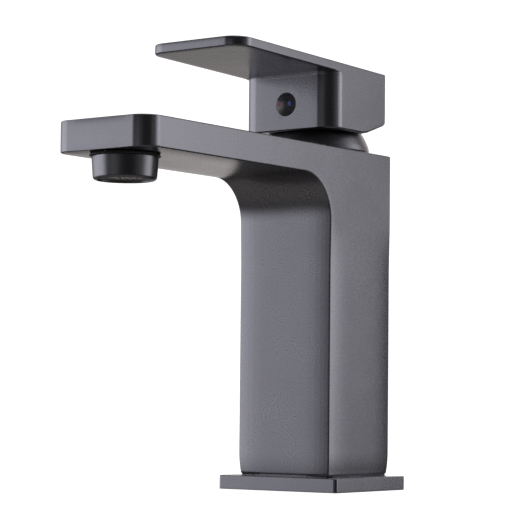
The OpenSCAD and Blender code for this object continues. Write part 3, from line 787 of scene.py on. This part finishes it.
def make_handle():
    """Blade and block in one casting, with a small hollow curve where they meet."""
    low, high = box_mm("handle")
    half_w, tip, back = high.x - SKIN, low.y + SKIN, high.y - SKIN
    front = box_mm("index_button")[0].y + BUTTON_H + SKIN
    slope = math.tan(math.radians(BLADE_RISE))
    back_top = high.z - (back - tip) * slope - SKIN

    def top(y):
        return back_top + (back - y) * slope

    def under(y):
        return top(y) - BLADE_T + 2 * SKIN

    def foot(y):
        rise = max(0.0, y - SKIRT_BEND) / (back - SKIRT_BEND)
        return low.z + SKIN + SKIRT_RISE * rise

    handle = Slab(half_w, tip, TIP_R, back, CAST_BACK_R, front, BLOCK_R, top, under,
                  BLADE_FILLET_R, foot=foot,
                  rim=Rim(0.5, face_fall=0.1, face_reach=4.0, side_fall=0.03, side_reach=1.3),
                  foot_rim=Rim(0.7, face_fall=0.05, face_reach=3.0, side_fall=0.05,
                               side_reach=3.0))
    skin = handle.build("handle_cast", GUNMETAL)
    foot_slope = SKIRT_RISE / (back - SKIRT_BEND)
    edge, past_tip, under_all = back + SKIN / 2, tip - CUT_PAST, low.z - CUT_UNDER
    corners = [(past_tip, under_all),
               (back - (SKIRT_RISE + CUT_UNDER) / foot_slope, under_all),
               (edge, foot(back) - SKIN / 2),
               (edge, top(back) + SKIN / 2),
               (past_tip, top(past_tip) + SKIN / 2)]
    side_cutter = across("block_sides", rounded(corners, (0, 0, BACK_FOOT_R, BACK_TOP_R, 0)),
                         half_w + CUT_PAST)
    side_cutter.data.materials.append(GUNMETAL)
    cut_with(skin, side_cutter, "INTERSECT")
    cut_with(skin, cad_copy("handle", GUNMETAL), "INTERSECT")
    finish_mesh(skin, 40)
    stand_in(skin, "handle", "lever")


# ---- Aerator ----

SHELL_WALL = 1.0
SHELL_TAPER = 0.5        # the shell's radius is this much smaller at its lower rim
SHELL_LIP = 0.7
SHELL_LIP_H = 0.95
SHELL_RIM_R = 1.2


def make_aerator_shell():
    """Screw-on shell: a slight taper, a rounded lower rim, and a thin lip inside it."""
    low, high = box_mm("aerator_shell")
    centre = ((low.x + high.x) / 2, (low.y + high.y) / 2)
    top_r = high.x - SKIN
    low_r = top_r - SHELL_TAPER
    bore, lip = top_r - SHELL_WALL, top_r - SHELL_WALL - SHELL_LIP
    wall_low, wall_high, lip_top = low.z + SHELL_RIM_R, high.z - 0.35, low.z + SHELL_LIP_H
    outline = arc((low_r - SHELL_RIM_R, wall_low), SHELL_RIM_R, -90, 0, 10)
    outline += [(low_r + (top_r - low_r) * i / 6, wall_low + (wall_high - wall_low) * i / 6)
                for i in range(1, 7)]
    outline += [(top_r - 0.1, high.z - 0.1), (top_r - 0.35, high.z)]
    outline += [(bore + 0.25, high.z), (bore, high.z - 0.25)]
    outline += [(bore, lip_top), (lip + 0.02, lip_top)]
    outline += [(lip, lip_top - 0.1), (lip, low.z + 0.45), (lip + 0.15, low.z + 0.12)]
    shell = lathe("aerator_shell_turned", outline, centre, 128)
    shell.data.materials.append(SHELL)
    finish_mesh(shell, 45)
    stand_in(shell, "aerator_shell", "column")


RING_WALL = 2.0
RING_DRAWN_H = 0.9       # the outline below is drawn this high, then stretched to the node
RING_SQUEEZE = 0.28      # the most that a lip gives way


def make_aerator_ring():
    """Rubber ring, squeezed into two uneven lips between the shell and the spout."""
    low, high = box_mm("aerator_ring")
    centre = ((low.x + high.x) / 2, (low.y + high.y) / 2)
    radius = high.x - SKIN
    height = high.z - low.z
    bore = radius - RING_WALL
    outline = [(bore, 0.0), (radius - 0.45, 0.0)]
    outline += arc((radius - 0.22, 0.24), 0.22, -80, 80, 6)
    outline += [(radius - 0.75, 0.5)]
    outline += arc((radius - 0.62, 0.68), 0.19, -70, 80, 5)
    outline += [(radius - 0.9, RING_DRAWN_H), (bore, RING_DRAWN_H)]

    def squeezed(angle, r, h):
        bulge = 0.5 + 0.5 * math.sin(3 * angle + 0.8) * math.cos(angle - 0.4)
        if r > bore + 0.5:
            r -= RING_SQUEEZE * bulge * (1 if h < 0.5 else 0.6)
        return r, low.z + h / RING_DRAWN_H * height

    ring = lathe("aerator_ring_squeezed", outline, centre, 144, squeezed)
    ring.data.materials.append(SLOT_FINISH["seal_rubber"])
    finish_mesh(ring, 60)
    stand_in(ring, "aerator_ring", "column")


# ---- Floor ----

FLOOR_GLOW = 0.9
FLOOR_CLOUD = 180
FLOOR_SIDES = 48
FLOOR_RINGS = (60, 120, 250, 600, 1500, 4000, 12000)


def make_floor():
    """Plain pale floor; the metal mirrors the studio's soft light and not this surface."""
    material, tree, shader, place = new_material("pale_floor")
    cloud = add(tree, "ShaderNodeTexNoise", {
        "Vector": place, "Scale": grain_scale(FLOOR_CLOUD), "Detail": 2.0})
    tone = add(tree, "ShaderNodeMix", {
        0: cloud.outputs["Fac"], 6: linear("#f3f3f3"), 7: linear("#fafafa")}, data_type="RGBA")
    tree.links.new(tone.outputs[2], shader.inputs["Base Color"])
    shader.inputs["Roughness"].default_value = 0.9
    shader.inputs["Specular IOR Level"].default_value = 0.1
    shader.inputs["Emission Color"].default_value = (1, 1, 1, 1)
    shader.inputs["Emission Strength"].default_value = FLOOR_GLOW
    points, faces = [(0, 0, 0)], []
    for radius in FLOOR_RINGS:
        points += [(radius * math.cos(2 * math.pi * i / FLOOR_SIDES),
                    radius * math.sin(2 * math.pi * i / FLOOR_SIDES), 0)
                   for i in range(FLOOR_SIDES)]
    for i in range(FLOOR_SIDES):
        k = (i + 1) % FLOOR_SIDES
        faces.append((0, 1 + i, 1 + k))
        for ring in range(len(FLOOR_RINGS) - 1):
            inner, outer = 1 + ring * FLOOR_SIDES, 1 + (ring + 1) * FLOOR_SIDES
            faces.append((inner + i, outer + i, outer + k, inner + k))
    floor = link(mesh_from("floor", points, faces), "floor")
    floor.data.materials.append(material)
    floor.visible_glossy = False


dress_cad_nodes()
make_body()
make_plate()
make_dome()
make_handle()
make_aerator_shell()
make_aerator_ring()
make_floor()
